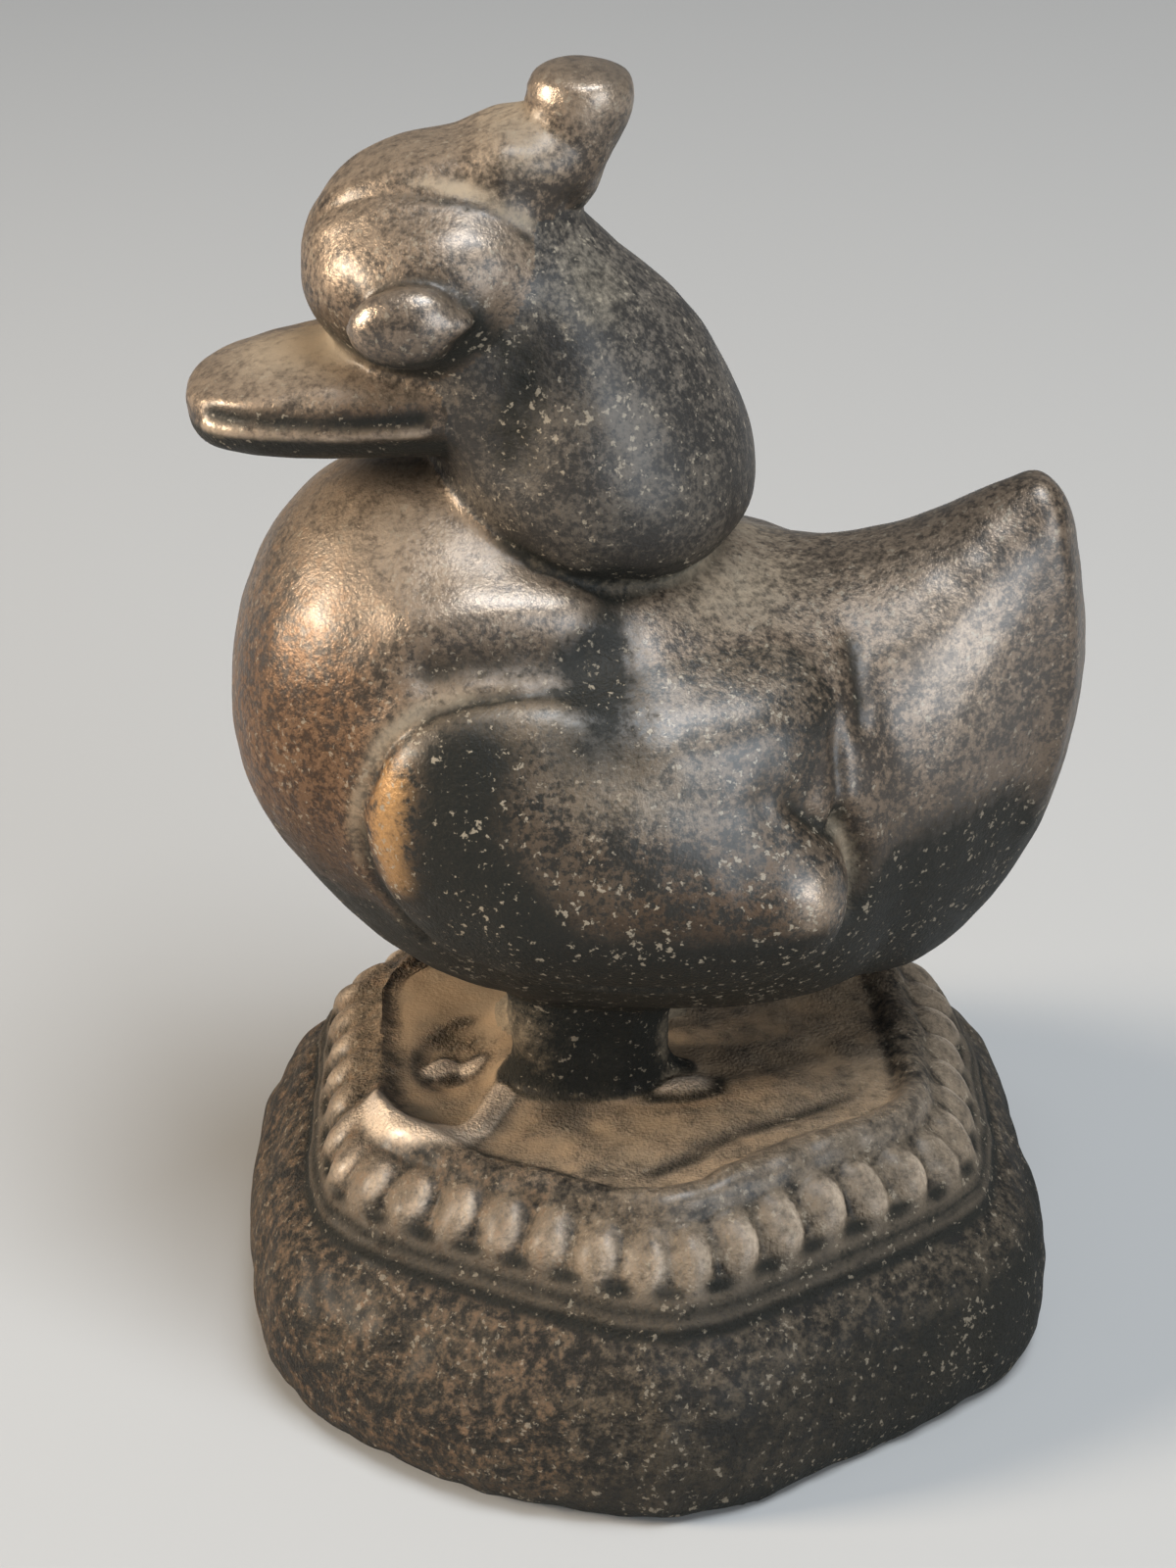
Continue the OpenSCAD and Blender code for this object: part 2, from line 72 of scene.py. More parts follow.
class Wax:
    """One skin over all the pieces: points, faces, the piece each face belongs to, and its paints."""

    paints = ("dust", "wear", "warm", "soot", "gold", "film", "gloss")
    sink = 0.5  # how deep the back of a piece lies under the skin, in millimetres
    scrap = 60  # a patch of fewer faces than this goes to the piece beside it
    faint = 0.003  # a point that would be smoothed by no more than this share stays where it is
    girth = 9.0  # an edge that runs round the base lies farther out than this, in millimetres
    turn = 5.0  # and it turns through more than this, in radians
    steep = 9.0  # how much an edge's height counts beside its reach when such edges are put in order

    def __init__(self, nodes, step, reach, rings, grains):
        self.names = list(nodes)
        self.rings = ("base_block", *rings)
        self.raised = [self.names.index(name) for name in (*rings, *grains)]
        self.parts = []
        points, faces = [], []
        for node in nodes.values():
            faces += [[len(points) + i for i in face.vertices] for face in node.data.polygons]
            points += [point.co[:] for point in node.data.vertices]
        lump = bpy.data.objects.new("lump", bpy.data.meshes.new("lump"))
        lump.data.from_pydata(points, [], faces)
        bpy.context.scene.collection.objects.link(lump)
        fuse = lump.modifiers.new("fuse", "REMESH")
        fuse.mode = "VOXEL"
        fuse.voxel_size = step / 1000
        mesh = lump.evaluated_get(bpy.context.evaluated_depsgraph_get()).to_mesh()
        at = np.empty(len(mesh.vertices) * 3)
        faces = np.empty(len(mesh.polygons) * 4, int)
        mesh.vertices.foreach_get("co", at)
        mesh.polygons.foreach_get("vertices", faces)
        bpy.data.objects.remove(lump)
        self.trim(at.reshape(-1, 3) * 1000, faces.reshape(-1, 4))
        self.measure(nodes, reach)
        self.share_out()
        self.paint = {name: np.zeros(len(self.at)) for name in self.paints}

    def trim(self, at, faces):
        """Keeps the outer skin and lists its edges and which faces meet."""
        a, b = faces.ravel(), np.roll(faces, -1, 1).ravel()
        shell = islands(len(at), a, b)
        outer = shell == np.bincount(shell).argmax()
        number = np.cumsum(outer) - 1
        self.at, self.faces = at[outer], number[faces[outer[faces[:, 0]]]]
        a, b = self.faces.ravel(), np.roll(self.faces, -1, 1).ravel()
        key = np.minimum(a, b) * len(self.at) + np.maximum(a, b)
        order = np.argsort(key, kind="stable")
        twin = key[order][1:] == key[order][:-1]
        pairs = np.stack([order[:-1][twin], order[1:][twin]], 1)
        self.twin = np.zeros(len(key), int)
        self.twin[pairs] = pairs[:, ::-1]
        self.meet = pairs // 4
        single = np.unique(key)
        self.edges = np.stack([single // len(self.at), single % len(self.at)], 1)
        self.count = np.bincount(self.edges.ravel())

    def measure(self, nodes, reach):
        """Finds how far each point lies from each piece, up to the reach."""
        self.away = np.full((len(self.at), len(nodes)), reach)
        for k, (name, node) in enumerate(nodes.items()):
            points = [point.co * 1000 for point in node.data.vertices]
            tree = BVHTree.FromPolygons(points, [face.vertices for face in node.data.polygons])
            low, high = (np.array(corner) * 1000 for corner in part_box(name))
            near = np.flatnonzero(((self.at > low - reach) & (self.at < high + reach)).all(1))
            found = (tree.find_nearest(point, reach)[3] for point in self.at[near].tolist())
            self.away[near, k] = [reach if gap is None else gap for gap in found]
        self.piece = self.away.argmin(1)
        self.seam = np.partition(self.away, 1, 1)[:, 1]

    def share_out(self):
        """Gives each face to the nearest piece, in whole patches, with a margin round the raised ones."""
        fields = self.away
        for _ in range(3):
            fields = self.even(fields)
        self.owner = np.stack([field[self.faces].mean(1) for field in fields.T], 1).argmin(1)
        for _ in range(8):
            patch = self.patches()
            stray = np.bincount(patch, minlength=len(self.faces))[patch] < self.scrap
            f, g = np.concatenate([self.meet, self.meet[:, ::-1]]).T
            turn = stray[f] & ~stray[g]
            self.owner[f[turn]] = self.owner[g[turn]]
        low, high = np.full(len(self.at), len(self.names)), np.zeros(len(self.at), int)
        np.minimum.at(low, self.faces.ravel(), np.repeat(self.owner, 4))
        np.maximum.at(high, self.faces.ravel(), np.repeat(self.owner, 4))
        margin = (low != high)[self.faces].any(1) & np.isin(self.owner, self.raised)
        self.owner[margin] = self.names.index("base_block")
        self.patch = self.patches()

    def patches(self):
        """The patch that each face belongs to, where faces of one piece meet."""
        f, g = self.meet[self.owner[self.meet[:, 0]] == self.owner[self.meet[:, 1]]].T
        return islands(len(self.faces), f, g)

    def even(self, values):
        """Each point's values, evened out with its neighbours'."""
        a, b = self.edges.T
        columns = values.reshape(len(values), -1).T
        total = [np.bincount(a, c[b], len(values)) + np.bincount(b, c[a], len(values)) for c in columns]
        return (np.array(total) / self.count).T.reshape(values.shape)

    def normals(self):
        """Which way the skin faces at each point."""
        corner = self.at[self.faces]
        across = np.cross(corner[:, 2] - corner[:, 0], corner[:, 3] - corner[:, 1])
        total = [np.bincount(self.faces.ravel(), np.repeat(c, 4), len(self.at)) for c in across.T]
        total = np.array(total).T
        return total / np.maximum(np.linalg.norm(total, axis=1), 1e-9)[:, None]

    def gap(self, name):
        """How far each point lies from the named piece."""
        return self.away[:, self.names.index(name)]

    def on(self, *names, margin=0):
        """1 on the named pieces, rising from 0 over the margin beside their joints."""
        mine = np.isin(self.piece, [self.names.index(name) for name in names])
        return mine * (rise(self.seam, 0, margin) if margin else 1.0)

    def joint(self, one, other, width):
        """1 on the joint of two pieces, fading over the width."""
        return np.exp(-((np.maximum(self.gap(one), self.gap(other)) / width) ** 2))

    def folded(self, both):
        """Each point's place, with the bird's right side laid over its left if both count."""
        return np.where(self.at[:, 1:2] > 0, self.at * (1, -1, 1), self.at) if both else self.at

    def along(self, line, width, both=True):
        """1 on a line drawn on the bird's left side, and on its right too, fading over the width."""
        line, at = np.array(line, float), self.folded(both)
        far = 3 * width
        near = ((at > line.min(0) - far) & (at < line.max(0) + far)).all(1)
        away = np.full(near.sum(), np.inf)
        for a, b in zip(line, line[1:]):
            share = np.clip((at[near] - a) @ (b - a) / ((b - a) @ (b - a)), 0, 1)
            away = np.minimum(away, np.linalg.norm(at[near] - a - share[:, None] * (b - a), axis=1))
        mask = np.zeros(len(at))
        mask[near] = np.exp(-((away / width) ** 2))
        return mask

    def around(self, spot, width, both=True):
        """1 at a spot on the bird's left side, and on its right too, fading over the width."""
        return np.exp(-((((self.folded(both) - spot) / width) ** 2).sum(1)))

    def stroke(self, line, width):
        """1 on a line drawn in one place only, fading over the width."""
        return self.along(line, width, both=False)

    def dab(self, spot, width):
        """1 at a spot in one place only, fading over the width."""
        return self.around(spot, width, both=False)

    def cast(self, size, seed, where):
        """Unevenness of a size in millimetres, from -1 to 1, where the mask is not 0."""
        field = np.zeros(len(self.at))
        near = np.flatnonzero(where)
        shift = Vector((seed * 17.3, seed * 5.1, seed * 9.7))
        field[near] = [noise.noise(Vector(p) / size + shift) for p in self.at[near].tolist()]
        return field * where

    def relax(self, share, times):
        """Smooths the skin with a warm tool, by a share of up to 1."""
        moved = np.flatnonzero(share > self.faint)
        number = np.zeros(len(self.at), int)
        number[moved] = np.arange(len(moved))
        pairs = np.concatenate([self.edges, self.edges[:, ::-1]])
        a, b = pairs[share[pairs[:, 0]] > self.faint].T
        a = number[a]
        for _ in range(times):
            mean = np.array([np.bincount(a, c[b], len(moved)) for c in self.at.T]).T
            mean /= self.count[moved, None]
            self.at[moved] += share[moved, None] * (mean - self.at[moved])

    def push(self, depth, level=False):
        """Raises the skin by a depth in millimetres, or presses it in where that is below 0."""
        self.at += self.normals() * ((1, 1, 0) if level else 1) * depth[:, None]

    def lift(self, height):
        """Raises the skin straight up by a height in millimetres."""
        self.at[:, 2] += height

    def tint(self, **shares):
        """Adds a share of each named paint, or takes it off where that is below 0."""
        for name, share in shares.items():
            self.paint[name] += share

    def relief(self, times):
        """How far each point stands out from the skin around it, in millimetres."""
        smooth = self.at
        for _ in range(times):
            smooth = self.even(smooth)
        return ((self.at - smooth) * self.normals()).sum(1)

    def part(self, name, finish, slot):
        """Cuts a named piece out of the skin and closes it behind, in place of the plain one."""
        k = self.names.index(name)
        mine = np.flatnonzero(self.owner == k)
        used, faces = np.unique(self.faces[mine], return_inverse=True)
        corners, sunk, fans, rings = faces.reshape(-1, 4).tolist(), [], [], []
        for walk in self.loops(k, mine):
            edge = np.searchsorted(used, walk).tolist()
            deep = list(range(len(used) + len(sunk), len(used) + len(sunk) + len(walk)))
            corners += [[edge[i], edge[i - 1], deep[i - 1], deep[i]] for i in range(len(walk))]
            sunk += walk
            angle = np.unwrap(np.arctan2(*self.at[walk, :2].T))
            wide = np.linalg.norm(self.at[walk, :2], axis=1).mean()
            if name in self.rings and wide > self.girth and abs(angle[-1] - angle[0]) > self.turn:
                rings.append((wide - self.steep * self.at[walk, 2].mean(), deep, walk))
            else:
                fans.append((deep, walk))
        for i, (deep, _) in enumerate(fans):
            corners += [[deep[j], deep[j - 1], len(used) + len(sunk) + i] for j in range(len(deep))]
        rings.sort()
        for (_, *one), (_, *two) in zip(rings[::2], rings[1::2]):
            corners += self.bridge(one, two)
        mesh = bpy.data.meshes.new(name + "_cast")
        mesh.from_pydata(np.zeros((len(used) + len(sunk) + len(fans), 3)).tolist(), [], corners)
        mesh.materials.append(finish)
        piece = bpy.data.objects.new(name + "_cast", mesh)
        bpy.context.scene.collection.objects.link(piece)
        self.parts.append((piece, used, sunk, [walk for _, walk in fans]))
        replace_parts(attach(piece, "root"), name)

    def loops(self, k, mine):
        """The closed walks along the edges of a piece, each round one neighbour where that can be."""
        half = (mine[:, None] * 4 + np.arange(4)).ravel()
        half = half[self.owner[self.twin[half] // 4] != k]
        start = self.faces.ravel()[half].tolist()
        end = np.roll(self.faces, -1, 1).ravel()[half].tolist()
        beyond = self.patch[self.twin[half] // 4].tolist()
        leaving = {}
        for i, point in enumerate(start):
            leaving.setdefault(point, []).append(i)
        found = []
        for first in list(leaving):
            while leaving[first]:
                i = leaving[first].pop()
                walk = [first]
                while end[i] != first:
                    choice = leaving[end[i]]
                    after = next((c for c in choice if beyond[c] == beyond[i]), choice[0])
                    choice.remove(after)
                    walk.append(start[after])
                    i = after
                found.append(walk)
        return found

    def bridge(self, one, two):
        """Closes the band between two loops that run round the base."""
        turned = []
        for deep, walk in (one, two):
            first = int(np.abs(np.arctan2(*self.at[walk, :2].T)).argmin())
            turned.append(deep[first:] + deep[:first + 1])
        one, two = turned[0], turned[1][::-1]
        i = j = 0
        faces = []
        while i < len(one) - 1 or j < len(two) - 1:
            if j == len(two) - 1 or (i < len(one) - 1 and i * (len(two) - 1) <= j * (len(one) - 1)):
                faces.append([one[i + 1], one[i], two[j]])
                i += 1
            else:
                faces.append([two[j], two[j + 1], one[i]])
                j += 1
        return faces

    def pour(self):
        """Gives every piece the finished skin, its shading and its paints."""
        facing = self.normals()
        deep = self.at - facing * self.sink
        for piece, used, sunk, fans in self.parts:
            ends = np.array([deep[walk].mean(0) for walk in fans]).reshape(-1, 3)
            skin = np.concatenate([self.at[used], deep[sunk], ends]) / 1000
            mesh = piece.data
            mesh.vertices.foreach_set("co", skin.ravel())
            mesh.polygons.foreach_set("use_smooth", np.ones(len(mesh.polygons), bool))
            mesh.update()
            up = np.concatenate([facing[used], facing[sunk], np.tile((0.0, 0.0, 1.0), (len(fans), 1))])
            mesh.normals_split_custom_set_from_vertices(up.tolist())
            for name, values in self.paint.items():
                layer = mesh.attributes.new(name, "FLOAT", "POINT")
                values = np.concatenate([values[used], values[sunk], np.zeros(len(fans))])
                layer.data.foreach_set("value", np.clip(values, 0, 1))


GRAINS = [name for name in frame["nodes"] if name.startswith("grains")]
RINGS = ["rim_welt", "upper_thread", "lower_thread"]
wax = Wax(frame["nodes"], step=0.25, reach=3.0, rings=RINGS, grains=GRAINS)
x, y, z = wax.at.T  # the points' places, which follow the skin as it is worked


# The bronze
# One pour of tin bronze. Handling and age have given it a brown to black patina, rubbed back to
# copper on the high places, with pale dust set in the hollows and a fine grain left by the mould.
# The same coats also carry painted shade, painted light and painted highlights.
class Wire:
    """A socket of a finish. Arithmetic on it adds Math nodes, and node() adds any other node."""

    def __init__(self, socket):
        self.socket = socket

    def node(self, kind, settings, links, out=0):
        tree = self.socket.id_data
        made = tree.nodes.new("ShaderNode" + kind)
        for key, value in settings.items():
            setattr(made, key, value)
        for key, value in links.items():
            if isinstance(value, Wire):
                tree.links.new(value.socket, made.inputs[key])
            else:
                made.inputs[key].default_value = value
        return Wire(made.outputs[out])

    def math(self, operation, first, second):
        return self.node("Math", {"operation": operation}, {0: first, 1: second})

    def __add__(self, other):
        return self.math("ADD", self, other)

    def __sub__(self, other):
        return self.math("SUBTRACT", self, other)

    def __rsub__(self, other):
        return self.math("SUBTRACT", other, self)

    def __mul__(self, other):
        return self.math("MULTIPLY", self, other)

    __radd__, __rmul__ = __add__, __mul__

    def ramp(self, low, high):
        return self.node("MapRange", {"interpolation_type": "SMOOTHSTEP"},
                         {"Value": self, "From Min": low, "From Max": high})

    def mix(self, one, other):
        one, other = (colour if isinstance(colour, Wire) else (*colour, 1) for colour in (one, other))
        return self.node("Mix", {"data_type": "RGBA"}, {0: self, 6: one, 7: other}, 2)

    def grain(self, size, detail=2.0, rough=0.55):
        """Unevenness of a size in millimetres, from about -0.5 to 0.5."""
        sockets = {"Vector": self, "Scale": 1000 / size, "Detail": detail, "Roughness": rough}
        return self.node("TexNoise", {}, sockets) - 0.5

    def clip(self):
        return self.node("Clamp", {}, {"Value": self})

    def paint(self, name):
        return self.node("Attribute", {"attribute_name": name}, {}, "Fac")


DARK_RUST, RUST = (0.056, 0.029, 0.015), (0.180, 0.096, 0.048)
GOLD, SOOT_AND_SHADE, SPECK = (0.47, 0.26, 0.10), (0.014, 0.014, 0.011), (0.36, 0.30, 0.22)
SPECKS_PER_METRE, BENDS_PER_METRE, BEND = 3100, 4200, 0.0006  # the bend of a speck's outline, in metres


def bronze(name, dark, brown, pale, worn_and_highlight, dust, rough, metal, sheen, clump, fleck, pits, ragged=1.0):
    """A finish laid in coats, from the brown of the metal up to the dust.

    The pits' depth is in millimetres. Clump is the share of small blotches in the brown, fleck the
    strength of the pale flecks, and ragged how far the edges of the coats are broken up.
    """
    finish = bpy.data.materials.new(name)
    finish.use_nodes = True
    tree = finish.node_tree
    shader = tree.nodes["Principled BSDF"]
    for socket, value in (("IOR", 1.35), ("Coat Roughness", 0.36), ("Coat IOR", 1.9)):
        shader.inputs[socket].default_value = value
    place = Wire(tree.nodes.new("ShaderNodeTexCoord").outputs["Object"])
    cloud, mottle = place.grain(3.4, 4), place.grain(0.75, 4, 0.6)
    flake, fine = place.grain(0.32, 3, 0.7), place.grain(0.2, 2)

    patch = cloud * (1 - clump) + mottle * clump
    colour = (patch + flake * (0.9 * ragged)).ramp(-0.1, 0.12).mix(dark, brown)
    # The film coat is a pale film, and where it follows facing or spots it also carries painted light and
    # painted shade.
    film = place.paint("film") + mottle * (1.6 - 0.9 * ragged) + flake * (1.1 * ragged)
    colour = (film.ramp(0.1, 0.95) * 0.9).mix(colour, pale)
    warm = (place.paint("warm") * 1.2 + mottle * 1.2 + flake * 0.8).ramp(0.21, 0.96)
    rust = (flake * 0.6 + mottle * 0.4).ramp(-0.07, 0.07).mix(DARK_RUST, RUST)
    colour = (warm * 0.85).mix(colour, rust)
    gold = (place.paint("gold") + mottle * 0.9 + flake * 0.8).ramp(0.2, 0.9)
    colour = gold.mix(colour, GOLD)
    # The wear coat is rubbed metal, and on the lip, the pellets, the toe bar, a wing tip and the brow also a
    # painted highlight.
    wear = (place.paint("wear") + flake * (0.8 * ragged)).ramp(0.2, 0.95)
    colour = wear.mix(colour, worn_and_highlight)
    # The soot coat is dark dirt in the grooves and also painted shade under, in and between things.
    soot = (place.paint("soot") + mottle * (0.9 * ragged) + flake * (0.7 * ragged)).ramp(0.15, 0.75)
    colour = (soot * 0.97).mix(colour, SOOT_AND_SHADE)

    sway = place.node("TexNoise", {}, {"Vector": place, "Scale": BENDS_PER_METRE}, "Color")
    sway = place.node("VectorMath", {"operation": "SCALE"}, {0: sway, "Scale": BEND})
    bent = place.node("VectorMath", {"operation": "ADD"}, {0: place, 1: sway})
    specks = {"Vector": bent, "Scale": SPECKS_PER_METRE}
    spot, luck = (place.node("TexVoronoi", {}, specks, out) for out in ("Distance", "Color"))
    flecks = luck * 1.1 + cloud * 0.9 + mottle * 0.9 + fine * 0.7 - spot
    flecks = flecks.ramp(0.47, 0.77) * fleck
    colour = flecks.mix(colour, SPECK)

    # The dust coat is pale dust, and in a few places also painted light and, where it is taken off, painted
    # shade.
    dusty = place.paint("dust") * 1.2 + mottle * (0.6 * ragged) + flake * (0.5 * ragged)
    dusty = dusty.ramp(0.15, 0.95)
    # A darker dust, set at random by the cloud.
    darker_dust = (dust[0] * 0.84, dust[1] * 0.88, dust[2] * 0.92)
    colour = (dusty * 0.9).mix(colour, cloud.ramp(-0.1, 0.1).mix(dust, darker_dust))

    gloss, bare = place.paint("gloss"), (1 - dusty) * (1 - soot)
    uneven = (fine * 0.9 + flake * 0.5 + mottle * 0.3 + 0.85) * (1 - dusty * 0.8)
    bump = place.node("Bump", {}, {"Strength": 1.0, "Distance": pits / 1000, "Height": uneven}, "Normal")
    for socket, value in (
        ("Base Color", colour),
        ("Metallic", bare * (metal + wear * 0.35 + gloss * 0.25 - flecks * 0.3).clip()),
        ("Roughness", rough + mottle * 0.3 + dusty * 0.25 + soot * 0.12 - wear * 0.08 - gloss * 0.12),
        ("Coat Weight", bare * (1 - warm * 0.8) * (sheen + gloss * 0.6 + wear * 0.3).clip()),
        ("Normal", bump),
    ):
        tree.links.new(value.socket, shader.inputs[socket])
    return finish


# The base
# A thick six-sided block of wax, shaped by hand, so its flanks swell unevenly. Its top is a rough
# shallow tray inside the welt, with a mark struck in front of the bird and a small toe bar.
base_bronze = bronze(
    "base bronze", dark=(0.013, 0.011, 0.008), brown=(0.058, 0.044, 0.028), pale=(0.27, 0.205, 0.142),
    worn_and_highlight=(0.80, 0.63, 0.47), dust=(0.46, 0.32, 0.195), rough=0.7, metal=0.05, sheen=0.05,
    clump=0.6, fleck=0.5, pits=0.2, ragged=0.5,
)
base = wax.on("base_block", *RINGS, *GRAINS)
wax.relax(wax.on("base_block", margin=1.0) * 0.5, 40)
wax.push(wax.cast(13, 1, base) * 0.45 + wax.cast(4.5, 2, base) * 0.14, level=True)
swelling = 1.6 * wax.dab((-9, -18, 2), (8, 7, 6)) + 0.6 * wax.dab((18, 4, 10), (5, 8, 4))
dent = 1.3 * wax.dab((-19, 5, 8), (5, 9, 4.5))
wax.push((swelling - dent) * base, level=True)
wax.push(wax.cast(0.7, 15, base) * 0.06)
wax.lift(0.8 * wax.dab((6, -12, 13.5), (9, 6, 4)) * base)

# The tray between the six sides of the welt.
tray_half_width, tray_edge, tray_bottom = 13.2, 0.8, 11
across_flats = np.max([np.abs(x * math.cos(a) + y * math.sin(a)) for a in np.radians((0, 60, 120))], 0)
tray = wax.on("base_block") * rise(across_flats, tray_half_width, tray_half_width - tray_edge)
tray *= z > tray_bottom
rough_cast = (wax.cast(1.1, 3, base) + wax.cast(2.4, 4, base)) * 0.16
wax.push(rough_cast * (1 - tray * 0.5) + tray * 0.35)

# The struck mark, an almond-shaped hollow with two pellets in it.
mark_middle, mark_length, mark_width = -9.9, 3.2, 1.9
mark_x, mark_y = 0.46, 0.89
lengthwise = (x - mark_middle) * mark_x + y * mark_y
sideways = y * mark_x - (x - mark_middle) * mark_y
oval = np.hypot(lengthwise / mark_length, sideways / mark_width)
pit = rise(oval, 1, 0.75) * tray
# The brink is weighted to the side of the pit where its own shadow falls.
shadowed_brink = np.exp(-(((oval - 1) / 0.13) ** 2)) * np.clip(0.4 + sideways * 0.5, 0.1, 1) * tray
dish = wax.dab((-10.8, -3.6, 13), (3.2, 3.4, 3)) * tray
pellets = sum(wax.stroke(line, 0.5) for line in (
    [(-11.5, -1.4, 12.7), (-10.5, -0.5, 12.7)],
    [(-9.2, -1.0, 12.7), (-8.6, -0.4, 12.7)],
)) * tray
shade = wax.stroke([(-12.0, -2.2, 12.7), (-10.2, -2.2, 12.7), (-8.4, -1.6, 12.7)], 0.4)
wax.lift(1.3 * pellets - 0.25 * dish - 0.45 * pit - 0.2 * shadowed_brink)

# The raised lip on the left of the mark, thick beside the welt and thin towards the feet.
thick = [(-14.5, -5.3, 13.9), (-13.5, -7.0, 13.9), (-11.9, -8.2, 13.8), (-10.5, -8.5, 13.7)]
thin = [thick[-1], (-9.0, -7.7, 13.6), (-7.9, -5.5, 13.6), (-6.9, -3.2, 13.6)]
lip = np.maximum(wax.stroke(thick, 1.0), wax.stroke(thin, 0.55)) * base
lip *= 1 + wax.cast(1.3, 18, lip > 0.01) * 0.5
below = [(-15.2, -6.5, 13.3), (-14.1, -8.4, 13.3), (-12.5, -9.5, 13.2), (-10.6, -10.2, 13.2)]
below = wax.stroke(below, 0.45) * base
wax.lift(0.75 * lip - 0.3 * below)

# The grooves inside the welt, the low spread beside the left foot, and the toe bar.
groove = sum(wax.stroke(line, 0.45) for line in (
    [(-3.4, -11.6, 13.6), (-1.6, -12.2, 13.6)],
    [(-0.4, -12.2, 14), (1.6, -11.2, 14), (3.9, -9.4, 14)],
    [(4.7, -8.9, 14), (7.0, -7.8, 14), (10.6, -5.6, 14)],
)) * base
wax.push(-0.5 * groove - 0.5 * wax.dab((-3.2, -8.0, 13.4), 0.5) * tray)
foot_spread = wax.stroke([(-3.8, -3.5, 13.6), (-4.8, -7.0, 13.6)], 1.2) * tray
toe_bar = wax.stroke([(0.6, -4.7, 13.9), (2.7, -4.3, 13.9)], 0.5) * base
beside = wax.stroke([(0.0, -5.5, 13.8), (1.9, -5.7, 13.8), (3.7, -4.8, 13.8), (3.8, -3.7, 13.8)], 0.4) * base
wax.lift(0.3 * foot_spread + 0.8 * toe_bar - 0.3 * beside)

# Dust in the tray, dark dirt in the grooves, and wear on what stands up. Painted on top: shade low on
# the flanks and towards the right, warm light on the left flank, shadow under the bird and in the
# mark, and highlights on the lip, the pellets and the toe bar.
# Wear on the toe bar, the lip and the pellets, which also paints their highlights; a pale film in the tray.
wax.tint(wear=toe_bar * 1.1 + lip * 1.9 + pellets * 2.2, film=tray * (0.4 - pit * 0.3))
wax.tint(dust=tray * (0.44 + wax.cast(4, 14, tray) * 0.2 + wax.cast(1.1, 16, tray) * 0.35))
# Dust heavier at the back left of the tray and thinner to the right of the feet, partly painted shade from
# the body.
wax.tint(dust=(wax.dab((-9, 6, 13), (6, 8, 2)) * 0.5 - rise(x, 1, 4) * 0.1) * tray - pit * 0.35)
wax.tint(dust=-(pellets * 2 + shadowed_brink * 0.8 + toe_bar + beside * 0.6 + lip * 1.2 + groove * 0.7) * base)
wax.tint(dust=-(shade * 0.4 + foot_spread * 0.7) * base)
# Painted shadow inside the brink of the mark and under the pellets, none on what stands up.
wax.tint(soot=(shadowed_brink * 0.7 + shade * 0.5 + pit * 0.1) * tray - (lip + pellets + toe_bar) * 0.8)
# Dark dirt in the grooves and under the lip, a painted shadow beside the toe bar, and the low spread by the
# left foot darkened.
wax.tint(soot=groove * 0.8 + below * 0.7 + beside * 0.8 + foot_spread * 0.4)
# A painted shadow of the body on the tray under the bird.
wax.tint(soot=wax.dab((-1, 0, 13.5), (5, 5, 2)) * tray * 0.55)
# Painted shade low on the flanks and growing towards the right, and a rusty warm tone on the left flank that
# paints in the warm light from the left.
wax.tint(soot=base * rise(z, 9.5, 6.5) * rise(x, -14, 36), warm=base * np.minimum(rise(x, -2, -16), 0.3))
inner_wall = wax.dab((-13.8, 2, 13.3), (2.2, 8, 2.2))
wax.tint(soot=-inner_wall * 2.0, dust=inner_wall * 0.4)
wax.part("base_block", base_bronze, "dusty_bronze")

# The welt
# A thick roll of wax laid round the top of the base and pressed down. It is lumpy, and rubbed
# bright on its outer edge, most of all round the mark at the front left, where a highlight is also painted
# on.
welt = wax.on("rim_welt")
broad = wax.stroke([(0.2, -14.5, 14), (6.4, -11.5, 14), (13.0, -7.5, 14)], 2.0) * welt
behind = wax.dab((-15, 4, 14), (4, 9, 3)) * welt
wax.push(wax.cast(3.0, 5, welt) * 0.2 + wax.cast(1.2, 6, welt) * 0.08 + broad * 0.3 - behind * 0.8)
wax.relax(wax.joint("rim_welt", "base_block", 0.6) * behind * 0.5, 20)
wax.tint(gloss=broad * 0.8 + lip * 1.6 + pellets * 1.6 + toe_bar, film=broad * 0.3 + welt * 0.12)
wax.tint(wear=-broad * 0.25, soot=wax.joint("rim_welt", "base_block", 0.35) * (1 - lip) * 0.3)
wax.part("rim_welt", base_bronze, "dusty_bronze")

